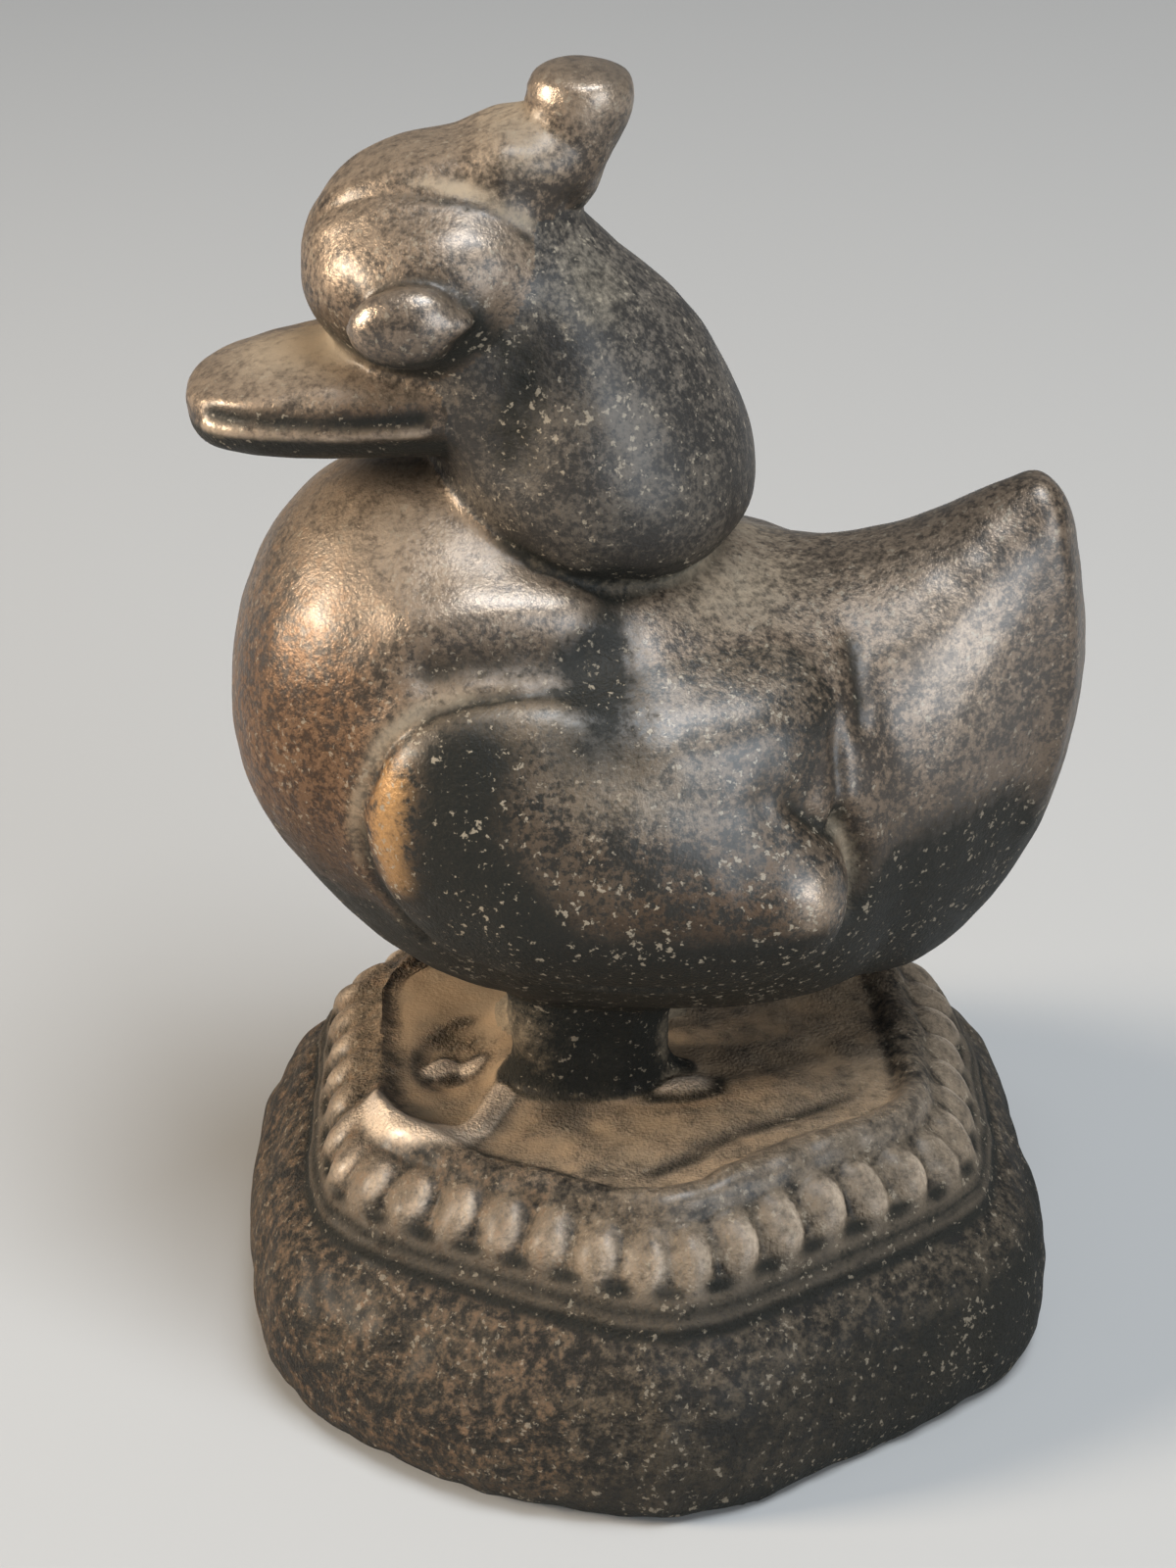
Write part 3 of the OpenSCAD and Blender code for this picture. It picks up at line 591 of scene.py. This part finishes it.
# The grains and the threads
# Six rows of upright wax grains, one on each side, over two thin threads. The gaps between them
# hold dark dirt, and the grains lean a little and are rubbed where they stand out.
facing = wax.normals()
for _ in range(15):
    facing = wax.even(facing)
aside = np.stack([-facing[:, 1], facing[:, 0], np.zeros(len(facing))], 1)
grain_lean, grain_front, slot_half_height = 0.3, 0.3, 1.3
for name in GRAINS:
    grains = wax.on(name) > 0
    a, b = wax.edges[grains[wax.edges].all(1)].T
    grain = islands(len(wax.at), a, b)
    middle = np.array([np.bincount(grain, c, len(grain)) for c in wax.at.T]).T
    middle /= np.maximum(np.bincount(grain, minlength=len(grain)), 1)[:, None]
    lean = ((wax.at - middle[grain]) * aside).sum(1).clip(-1, 1) * grain_lean
    proud = wax.gap("base_block")
    flattened = np.maximum(proud - grain_front, 0) * 0.7
    wax.push(0.25 * grains)
    wax.at += facing * ((lean * rise(proud, 0, 0.4) - flattened) * grains)[:, None]
    slot = np.exp(-(((z - middle[grains][:, 2].mean()) / slot_half_height) ** 4))
    slot *= wax.joint(name, "base_block", 0.42)
    band = np.exp(-((wax.gap(name) / 0.7) ** 2)) * (1 - slot)
    wax.tint(soot=slot * 1.2, dust=wax.on(name, margin=0.4) * 0.15 - slot * 0.6)
    wax.tint(film=band * 0.2 + grains * 0.4, wear=rise(lean, 0, 0.2) * grains * 0.5, gloss=grains * 0.15)
    wax.part(name, base_bronze, "worn_bronze")
threads = ("upper_thread", "lower_thread")
seam = wax.joint(*threads, 0.35)
for name in threads:
    seam = np.maximum(seam, wax.joint(name, "base_block", 0.35))
    wax.part(name, base_bronze, "dusty_bronze")
wax.push(0.1 * wax.on(*threads) - 0.35 * seam)
wax.tint(film=wax.on(*threads) * 0.4, soot=seam * 1.1, dust=-seam * 0.6)

# The feet and the legs
# Two short legs pressed together under the body and spread into flat feet on the tray. They were
# hard to reach with a tool, so they stay lumpy and dusty at the foot. The legs and the left foot are
# painted dark as shade under the body.
leg_bronze = bronze(
    "leg bronze", dark=(0.012, 0.011, 0.009), brown=(0.060, 0.046, 0.032), pale=(0.14, 0.11, 0.075),
    worn_and_highlight=(0.36, 0.26, 0.16), dust=(0.37, 0.285, 0.19), rough=0.72, metal=0.06, sheen=0.05,
    clump=0.6, fleck=0.6, pits=0.2,
)
for side in ("left", "right"):
    foot, leg = side + "_foot", side + "_leg"
    limb = wax.on(foot, leg)
    wax.relax(limb * 0.45, 15)
    wax.relax((wax.joint(foot, leg, 1.2) + wax.joint(foot, "base_block", 0.7)).clip(0, 1) * 0.5, 30)
    wax.push(wax.cast(2.0, 9, limb) * 0.25 + wax.cast(0.9, 10, limb) * 0.12)
    # The legs' soot is painted shade under the body; the feet get a little dust.
    wax.tint(dust=wax.on(foot) * 0.15, soot=wax.on(leg) * 0.75 + wax.cast(1.0, 19, limb) * 0.3)
    wax.part(foot, leg_bronze, "dusty_bronze")
    wax.part(leg, leg_bronze, "dark_bronze")
limb = wax.on("left_leg", "left_foot")
wax.push(wax.dab((-7, -3, 18), (1.8, 4, 4)) * limb, level=True)
# The left foot is painted dark as the body's shadow; the right foot gets dust.
wax.tint(soot=wax.on("left_foot") * 0.7, dust=wax.on("right_foot") * 0.4)
wax.tint(dust=wax.dab((-6.5, -3.5, 17.5), (2.2, 3, 2.5)) * limb * 0.45)
wax.tint(dust=wax.stroke([(0.8, -4.0, 17), (1.6, -4.4, 14)], 0.8) * 0.45)

# The body
# One egg of wax from breast to rump. A flat shoulder plane runs from the neck to the wing with a
# shallow valley under it, and the breast is a smooth, much handled ball.
bird_bronze = bronze(
    "bird bronze", dark=(0.046, 0.034, 0.024), brown=(0.165, 0.114, 0.074), pale=(0.37, 0.276, 0.192),
    worn_and_highlight=(0.54, 0.40, 0.28), dust=(0.41, 0.32, 0.22), rough=0.46, metal=0.34, sheen=0.2,
    clump=0.45, fleck=0.6, pits=0.06,
)
wax.relax(wax.on("body", margin=1.0) * 0.5, 70)
for part, width in (("tail", 2.0), ("left_leg", 1.2), ("right_leg", 1.2)):
    wax.relax(wax.joint("body", part, width) * 0.5, 60)
body = wax.on("body", "left_wing", "right_wing", "neck", "tail")
ridge = [(-11.2, -9.1, 43.2), (-8.9, -8.9, 43.7), (-6.1, -8.5, 43.7), (-3.4, -8.2, 43.2)]
valley = [(-10.8, -10.1, 41.4), (-8.0, -10.2, 41.8), (-5.3, -10.1, 41.8), (-3.4, -9.7, 41.7)]
ridge, valley = wax.along(ridge, 1.6) * body, wax.along(valley, 1.2) * body
wax.push(0.4 * ridge - 0.6 * valley)
crease = wax.along([(-2.0, -6.6, 43.8), (-2.5, -8.8, 42.3), (-3.3, -10.9, 40.4)], 1.2) * body
wax.push(-0.5 * crease - 0.6 * wax.around((-16, -3, 27), (5, 9, 5)) * wax.on("body"))
# Painted shade in the back crease and the shoulder valley, and darker towards the body's bottom.
wax.tint(soot=(crease + wax.around((-2.4, -9.5, 41), (2, 4, 3)) * body) * 0.4 + valley * 0.5)
wax.tint(soot=body * rise(z, 28.5, 24.5), warm=wax.around((-16, -5, 34), (6, 10, 10)))
# The lower breast is painted darker as shade; dust on the back.
wax.tint(film=wax.around((-16, -4, 31), (6, 9, 8)) * -0.6, dust=wax.around((4, -4, 42.5), (5, 7, 2)) * 0.5)
wax.tint(gloss=ridge * 0.6 - valley * 0.4 + wax.around((-17.5, -6, 41.5), (3, 4, 3)) * 0.6)
wax.part("body", bird_bronze, "worn_bronze")

# The wings
# A flat lobe of wax laid on each side. Its front is a round bead with a fine line before it, its
# top was smoothed into the back, and its lower half swells to a blunt tip that stands off the tail.
wing_bronze = bronze(
    "wing bronze", dark=(0.020, 0.017, 0.012), brown=(0.108, 0.073, 0.045), pale=(0.29, 0.226, 0.16),
    worn_and_highlight=(0.46, 0.33, 0.22), dust=(0.38, 0.30, 0.20), rough=0.46, metal=0.2, sheen=0.16,
    clump=0.55, fleck=0.85, pits=0.08,
)
for wing in ("left_wing", "right_wing"):
    wax.relax(wax.on(wing, margin=0.8) * 0.5, 50)
    wax.relax(wax.joint("body", wing, 2.2) * rise(z, 36, 39) * rise(x, -6, -2) * 0.5, 80)
wings = wax.on("left_wing", "right_wing", "body", "tail")
front = np.array([
    (-4.1, -11.1, 40.6), (-6.3, -11.1, 40.6), (-8.5, -11.0, 40.3), (-10.8, -11.0, 39.6),
    (-12.7, -10.9, 38.0), (-13.7, -11.1, 36.1), (-14.2, -10.5, 33.1), (-13.9, -10.2, 30.7),
    (-12.9, -9.9, 28.6), (-11.1, -9.7, 26.4),
])
under = np.array([
    (-11.1, -9.7, 26.4), (-8.3, -11.5, 25.7), (-5.5, -12.3, 25.4), (-2.7, -13.0, 25.4),
    (1.1, -13.1, 25.2), (3.9, -12.8, 25.1), (6.8, -12.6, 26.2), (8.6, -11.0, 27.0),
])
outward = (front - (-5, -11, 33)) * (1, 0, 1)
outward /= np.linalg.norm(outward, axis=1)[:, None]
line = wax.along(front, 0.3) * wings
halo = wax.along(front + outward * 0.9 + (0, 0.25, 0), 0.7) * wings
bead = wax.along(front - outward * 1.5 - (0, 0.6, 0), 1.3) * wings
wax.push(0.18 * halo + 0.3 * bead - 0.4 * line - 0.35 * wax.along(under, 0.5) * wings)
wax.push(0.8 * wax.along([(-6, -13.2, 29.5), (0, -13.6, 29.5), (5.0, -13.0, 29.8)], 3.0) * wings)
upper_lobe = wax.along([(0.5, -12.6, 38.0), (3.8, -11.0, 38.8), (7.0, -8.6, 39.4)], 2.3) * wings
saddle = wax.along([(0.5, -12.9, 35.2), (4.5, -12.4, 35.3)], 1.6) * wings
wax.push(0.4 * upper_lobe - 0.4 * saddle)
tip = wax.around((6.8, -12.6, 30.2), (1.8, 2.5, 2.6)) * wings
parting = wax.along([(9.0, -11.2, 33.0), (9.9, -10.8, 30.5), (9.4, -11.2, 27.8)], 0.7) * wings
notch = wax.along([(6.0, -12.4, 35.2), (7.1, -11.9, 33.8), (8.3, -11.5, 32.6)], 0.45) * wings
cut = wax.along([(7.6, -7.7, 39.4), (8.2, -9.2, 37.5), (8.5, -10.5, 35.0), (8.6, -11.2, 32.7)], 0.4) * wings
wax.push(1.1 * tip - 1.4 * parting - 0.6 * notch - 0.45 * cut)

# Dust along the edge, rubbed places on the bead and the tip, with a painted highlight on the tip, and a dark
# middle.
trace = wax.along(np.concatenate([front + outward * 0.5, under - (0, 0, 0.4)]), 0.35) * wings
wax.tint(dust=halo * 0.25 + trace * 0.6 + parting * 0.35)
wax.tint(soot=line * 0.6 - trace * 0.5 + notch * 0.9 + cut * 0.5)
wax.tint(gold=wax.along([(-12.7, -12.2, 36.6), (-13.0, -12.2, 34.0), (-12.5, -12.0, 31.5)], 1.3) * 0.85)
wax.tint(gold=wax.around((7, -12.8, 28.4), (1.8, 2, 1.4)) * 0.75)
wax.tint(soot=wax.along([(-9.4, -12.9, 38), (-9.6, -13.4, 34), (-7.5, -13.6, 30)], 2.4) * 0.95)
wax.tint(soot=wax.along([(-8, -13, 29.5), (0, -13.8, 29.5), (5, -13, 28)], 3.0) * wings * 0.66)
wax.tint(soot=wax.around((-3, -12.5, 38.6), (3.2, 4, 2.2)) * wings * 0.5)
wax.tint(film=wax.along([(-9, -13, 33), (-4, -13.6, 31), (3, -13.6, 29)], 4.0) * wings * -0.6)
wax.tint(film=(wax.around((-0.5, -13.5, 36.3), (4, 4, 2.4)) * 0.5 - rise(x, -4, 0) * 0.3) * wings)
wax.tint(film=wax.around((15.5, -5.6, 38), (4, 7, 6)) * wings * 0.45)
wax.tint(warm=wax.around((0, -13, 29), (8, 4, 3.5)) * 0.8)
wax.tint(gloss=wax.around((2, -12, 37), (6, 6, 3)) * wings * 0.7)
wax.tint(gloss=wax.around((7, -14, 31.3), (1.2, 2.5, 1.8)) * wings * 1.5)
# A painted highlight on the wing tip, over a little wear.
wax.tint(wear=wax.around((7, -14, 31), (1.2, 2.5, 1.8)) * wings * 0.4)
for wing in ("left_wing", "right_wing"):
    wax.part(wing, wing_bronze, "dark_bronze")

# The tail
# A broad upright fan, smooth and slightly hollow at the sides, run into the back without a step. A
# thin cut parts it from the wing, and its foot under the overhang is painted dark as shade.
wax.relax(wax.on("tail", margin=0.8) * 0.5, 60)
tail = wax.on("tail", "body", "left_wing", "right_wing")
cut = wax.along([(9.4, -5.7, 40.3), (9.6, -7.2, 39.0), (9.7, -8.7, 37.2)], 0.4) * tail
rear = wax.along([(19.2, -1.3, 45.8), (20.4, -2.6, 41.1), (20.8, -2.8, 35.8), (19.3, -2.9, 28.1)], 0.9) * tail
wax.push(0.3 * rear - 0.3 * cut - 0.1 * wax.around((14.5, -6, 37), (3.5, 4, 5)) * tail)
wax.tint(gloss=wax.around((16, -5, 37), (5, 8, 8)) * tail * 1.2)
wax.tint(gloss=wax.around((11.5, -5, 41), (3, 5, 3.5)) * tail * -0.6)
# Dark dirt in the cut, and painted shade on the foot under the overhang.
wax.tint(soot=cut * 0.7 + wax.along([(12, -9, 27.5), (17, -5, 28)], 3.6) * tail)
wax.part("tail", bird_bronze, "dark_bronze")

# The neck
# A short cape of wax hung round the neck. Its lower edge overhangs the back, and a deep hollow lies
# between the cheek and its front edge. Its patina is greyer and duller than the body's.
neck_bronze = bronze(
    "neck bronze", dark=(0.034, 0.030, 0.026), brown=(0.105, 0.087, 0.068), pale=(0.24, 0.20, 0.16),
    worn_and_highlight=(0.40, 0.30, 0.21), dust=(0.37, 0.31, 0.225), rough=0.58, metal=0.12, sheen=0.15,
    clump=0.4, fleck=0.75, pits=0.09,
)
wax.relax(wax.on("neck", margin=0.8) * 0.5, 60)
ahead = rise(x, -6, -9)
wax.relax(wax.joint("neck", "body", 1.4) * ahead * 0.5, 40)
neck, bird = wax.on("neck"), wax.on("neck", "head", "body")
hem = wax.joint("neck", "body", 0.55) * (1 - ahead)
hollow = wax.along([(-6.4, -6.9, 55.4), (-6.4, -7.2, 53.4), (-7.1, -7.4, 51.2)], 2.0)
cape = wax.along([(-2.6, -6.4, 56.0), (-2.6, -7.8, 53.0), (-3.4, -8.2, 50.0)], 1.8)
nape = wax.around((0, -1, 59.5), (3.5, 7, 4))
wax.push((0.05 * cape - 0.7 * hollow) * bird - 0.5 * hem - 0.8 * nape * neck)
wax.relax(wax.joint("neck", "body", 0.8) * 0.5, 8)
# The top of the breast under the head is painted lighter with film, wear and dust, as painted light in the
# head's shade.
wax.tint(film=wax.around((-12, -5, 46), (5, 7, 3)) * 0.4 - hollow * 0.6 - neck * 0.25)
wax.tint(wear=wax.around((-12, -5, 46), (4, 7, 3)) * 0.35)
wax.tint(dust=wax.around((-12.5, -5, 46), (4, 6, 2.5)) * wax.on("body") * 0.3)
wax.tint(dust=wax.around((-2.5, -4.5, 58.5), (3, 4, 3.5)) * neck * 0.4)
# Painted shade in the hollow behind the cheek, over its dark patina, and a painted shadow under the hem.
wax.tint(soot=hollow * 0.8 + hem * 0.9 - neck * 0.2)
wax.part("neck", neck_bronze, "dark_bronze")

# The head
# A ball of wax with a brow that hoods the eye. The brow's rear end is rubbed a little where it drops
# to the neck, with a painted highlight over the wear, and its left front carries a broad painted highlight.
wax.relax(wax.on("head", margin=0.7) * 0.5, 50)
wax.relax(wax.joint("head", "neck", 1.0) * 0.4, 20)
brow = wax.around((-8.4, -4.6, 60.2), (2.2, 1.6, 1.5))
wax.push(0.4 * brow + 0.25 * wax.around((-14.6, -3.0, 58.8), (2, 2.5, 2)))
# Wear on the brow's rear end, partly a painted highlight, and a painted highlight on the brow's left front.
wax.tint(wear=brow * 0.25 + wax.around((-15, -3.5, 59), (2, 3, 2)) * 0.45, gloss=brow * 0.45)
wax.tint(film=wax.around((-10.8, -5, 60), (2.2, 3, 2)) * -0.1)
wax.tint(warm=wax.around((-13, -5, 55), (4, 3, 4)) * 0.3)
wax.part("head", bird_bronze, "worn_bronze")

# The eyes
# An almond-shaped pellet pressed on each side of the head, pinched to a point behind, with a dark
# line round it.
for eye in ("left_eye", "right_eye"):
    wax.relax(wax.on(eye, margin=0.4) * 0.4, 6)
    wax.push(0.25 * wax.on(eye, margin=0.8) - 0.35 * wax.joint(eye, "head", 0.4))
    pinch = sum(wax.around((-8.5, -7.7, height), (1.2, 2, 0.9)) for height in (58.7, 56.3))
    wax.push(-0.6 * pinch * wax.on(eye))
    wax.tint(soot=wax.joint(eye, "head", 0.5) * 0.7, gloss=wax.on(eye) * 0.8)
    wax.part(eye, bird_bronze, "worn_bronze")

# The bill
# Two flat halves that part along the mouth. The top of the upper half is dusty and its rim is
# rubbed bright; the lower half is thin and dark, with a raised lip along the mouth.
for half in ("upper_bill", "lower_bill"):
    wax.relax(wax.on(half, margin=0.6) * 0.4, 20)
bill, lower_bill = wax.on("upper_bill", "lower_bill", "head"), wax.on("lower_bill")
mouth = np.array([
    (-21.0, -3.3, 51.2), (-19.0, -4.7, 51.2), (-15.8, -5.6, 51.3), (-13.1, -5.9, 51.4), (-10.8, -5.8, 51.5),
])
rim = [(-22.0, -0.9, 52.0), (-21.0, -2.8, 52.1), (-18.9, -4.1, 52.5), (-17.0, -4.3, 53.0), (-15, -4.4, 53.4)]
rim = wax.along(rim, 0.45) * bill
slit = wax.along(mouth + (0, 0, 0.55), 0.3) * bill
lips = wax.along(mouth - (0, 0, 0.05), 0.35) * bill
wax.push(0.2 * rim - 0.45 * slit + 0.25 * lips)
wax.push(0.35 * lower_bill * rise(z, 51, 50.4))
above_mouth = wax.along(mouth + (0, 0, 0.9), 0.6) * bill
wax.tint(wear=rim * 0.35 + lips * 0.6, warm=above_mouth * 0.4)
wax.tint(dust=wax.around((-17, 0, 54.3), (5, 4.5, 1.6)) * bill * 0.9 + lips * 0.5)
wax.tint(soot=slit * 0.9 + above_mouth * 0.6 + lower_bill * np.minimum(rise(z, 50.9, 50.4), 0.8))
for half in ("upper_bill", "lower_bill"):
    wax.part(half, bird_bronze, "worn_bronze")

# The crest
# A strap of wax over the head, edged by a dusty line, with a leaning finger of wax set on it, whose
# top was pinched flat.
for part in ("crest_strap", "crest_knob"):
    wax.relax(wax.on(part, margin=0.6) * 0.45, 20)
wax.relax(wax.joint("crest_strap", "neck", 1.5) * 0.5, 40)
wax.relax(wax.joint("head", "crest_strap", 1.8) * 0.5, 60)
strap = np.array([
    (-16.2, -0.4, 59.3), (-15.2, -2.4, 61.4), (-13.0, -3.4, 62.3),
    (-10.6, -3.7, 62.2), (-8.0, -3.9, 61.5), (-5.8, -4.1, 60.1),
])
crown = wax.on("head", "crest_strap", "neck")
strap_line = wax.along(strap, 0.35) * crown
strap_edge = wax.along(strap + (0, 0.5, 0.9), 1.0) * crown
sunken = wax.on("crest_strap", margin=1.0) * rise(x, -7, -9)
wax.push(0.15 * strap_edge - 0.6 * sunken)
wax.relax(wax.along(strap[:4] + (0, 0.4, 0.7), 1.2) * 0.5, 25)
knob = wax.on("crest_knob", margin=1.0)
wax.relax(wax.joint("crest_strap", "crest_knob", 1.6) * 0.5, 40)
waist = wax.around((-1.8, 0, 62.5), (1.5, 4, 2.2))
dip = wax.around((-9, 0, 65.5), (3, 5, 2)) * wax.on("crest_strap")
wax.push((0.4 - 0.8 * waist) * knob - 0.12 * strap_line - 0.3 * dip)
knob_top = 66.5
wax.lift(np.maximum(z - knob_top, 0) * wax.on("crest_knob") * -0.5)
# The knob is painted paler as a painted highlight, besides its gloss.
wax.tint(soot=strap_line - wax.along(strap[:4] + (0, 0.4, 0.7), 0.9), gloss=knob * 0.6, film=knob * 0.35)
wax.tint(dust=wax.along(strap + (0, 0.3, 0.55), 0.5) * wax.on("crest_strap", "head") * 0.85)
wax.tint(dust=wax.around((-6.3, 0, 64), (2.4, 5, 2)) * 0.6 - strap_line * 0.4)
for part in ("crest_strap", "crest_knob"):
    wax.part(part, bird_bronze, "worn_bronze")

# The finish of the skin
# Use rubbed the edges and left dust in the small hollows; the mould left a faint unevenness all over.
# The broad hollows and the faces that look down are painted dark as shade, and the faces that look up
# are painted paler as light from above. The underside stays flat, so that the weight stands level.
everywhere = np.ones(len(wax.at))
wax.push(wax.cast(1.6, 11, everywhere) * 0.05 + wax.cast(5.0, 12, everywhere) * 0.08)
wax.at[:, 2] = np.where(z < 0.12, 0, z)
near, wide, up = wax.relief(6), wax.relief(50), wax.normals()[:, 2]
wax.tint(wear=rise(near, 0, 0.15) * 0.4 + rise(wide, 0.15, 0.75) * 0.25, dust=rise(near, 0, -0.12) * 0.25)
wax.tint(gloss=(rise(up, 0, 0.5) * 0.25 - rise(up, 1 / 15, -0.6) * 0.8) * (1 - base))
# Painted shade in the broad hollows and on faces that look down.
wax.tint(soot=rise(wide, -0.15, -0.75) * (0.8 - 0.35 * base) + rise(up, 0, -1) * 1.1)
# Painted light: faces that look up are paler.
wax.tint(film=rise(up, -1 / 3, 1) * (0.75 - 0.45 * base))
wax.paint["film"] = np.minimum(wax.paint["film"], 0.72)
for name in wax.paints:
    wax.paint[name] = wax.even(wax.even(wax.paint[name]))
wax.pour()

# The table
# A plain pale top that the weight stands on, matt, and wide enough to fill the picture.
half_table = 3.0
floor = bpy.data.objects.new("floor", bpy.data.meshes.new("floor"))
corners = [(a * half_table, b * half_table, 0) for a, b in ((-1, -1), (1, -1), (1, 1), (-1, 1))]
floor.data.from_pydata(corners, [], [(0, 1, 2, 3)])
pale = bpy.data.materials.new("pale top")
pale.use_nodes = True
pale.node_tree.nodes["Principled BSDF"].inputs["Base Color"].default_value = (0.55, 0.545, 0.535, 1)
pale.node_tree.nodes["Principled BSDF"].inputs["Roughness"].default_value = 0.9
floor.data.materials.append(pale)
bpy.context.scene.collection.objects.link(floor)


# The light
# A small warm window low on the left, a broad cool sky above, a broad cool light from the right in
# front, and a dim pale room.
def lamp(name, place, size, power, colour, fan=180):
    light = bpy.data.lights.new(name, "AREA")
    light.size, light.energy, light.color, light.spread = size, power, colour, math.radians(fan)
    holder = bpy.data.objects.new(name, light)
    holder.location = place
    mid_weight = Vector((0, 0, 0.035))
    holder.rotation_euler = (mid_weight - Vector(place)).to_track_quat("-Z", "Y").to_euler()
    bpy.context.scene.collection.objects.link(holder)


warm_light, cool_light = (1.0, 0.86, 0.69), (0.86, 0.93, 1.0)
lamp("window", (-0.61, -0.07, 0.26), 0.16, 0.68, warm_light, fan=70)
lamp("sky", (0.14, -0.17, 0.64), 0.30, 3.2, cool_light)
lamp("daylight", (0.46, -0.54, 0.23), 0.42, 2.6, cool_light)
room = bpy.data.worlds.new("room")
room.use_nodes = True
room.node_tree.nodes["Background"].inputs["Color"].default_value = (0.15, 0.15, 0.15, 1)
bpy.context.scene.world = room

# The camera
# A phone held close, a little above the bird and almost square to its left side.
turn, height, distance = math.radians(-3.4), math.radians(29.6), 172.73
back = Vector((math.sin(turn) * math.cos(height), -math.cos(turn) * math.cos(height), math.sin(height)))
right = Vector((math.cos(turn), math.sin(turn), 0))
target = -2.875 * right + Vector((0, 0, 29.325))
camera = bpy.data.objects.new("camera", bpy.data.cameras.new("camera"))
camera.data.angle = math.radians(26)
camera.data.clip_start = 0.01
stand = Matrix.Translation((target + distance * back) / 1000)
camera.matrix_world = stand @ Matrix((right, back.cross(right), back)).transposed().to_4x4()
bpy.context.scene.collection.objects.link(camera)
bpy.context.scene.camera = camera
bpy.context.scene.view_settings.view_transform = "Standard"
